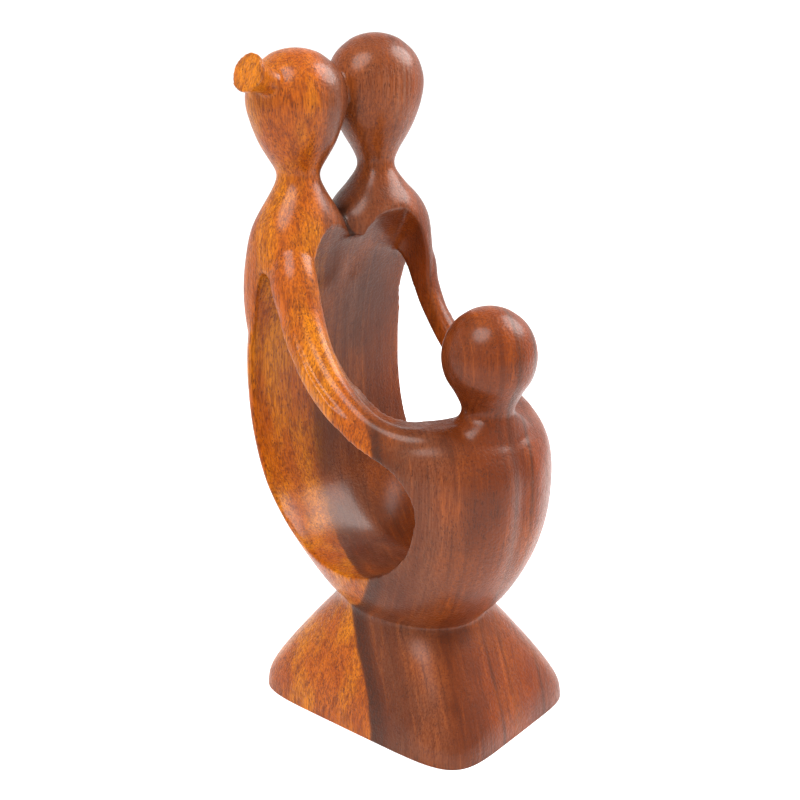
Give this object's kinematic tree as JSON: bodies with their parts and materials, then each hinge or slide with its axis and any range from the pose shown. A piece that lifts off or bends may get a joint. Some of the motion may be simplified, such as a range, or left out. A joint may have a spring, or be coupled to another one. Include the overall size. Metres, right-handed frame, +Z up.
{
  "type": "carved wooden family sculpture",
  "caption": "Abstract wooden carving of a family: two faceless parents, heads together, whose arms sweep down to a child at the front, hollow between them, on a flared base.",
  "frame": {"origin": "middle of the underside, on the surface the sculpture stands on", "axes": "X across the two parents with the mother on -X, the child faces -Y, +Z up"},
  "size_m": [0.1081, 0.1408, 0.2999],
  "materials": {
    "oiled_wood": "hand-carved, sanded smooth and oiled to a satin sheen, golden sapwood on one side and brown-red heartwood on the other"
  },
  "bodies": {
    "root": {"family_group": "oiled_wood"}
  },
  "joints": []
}
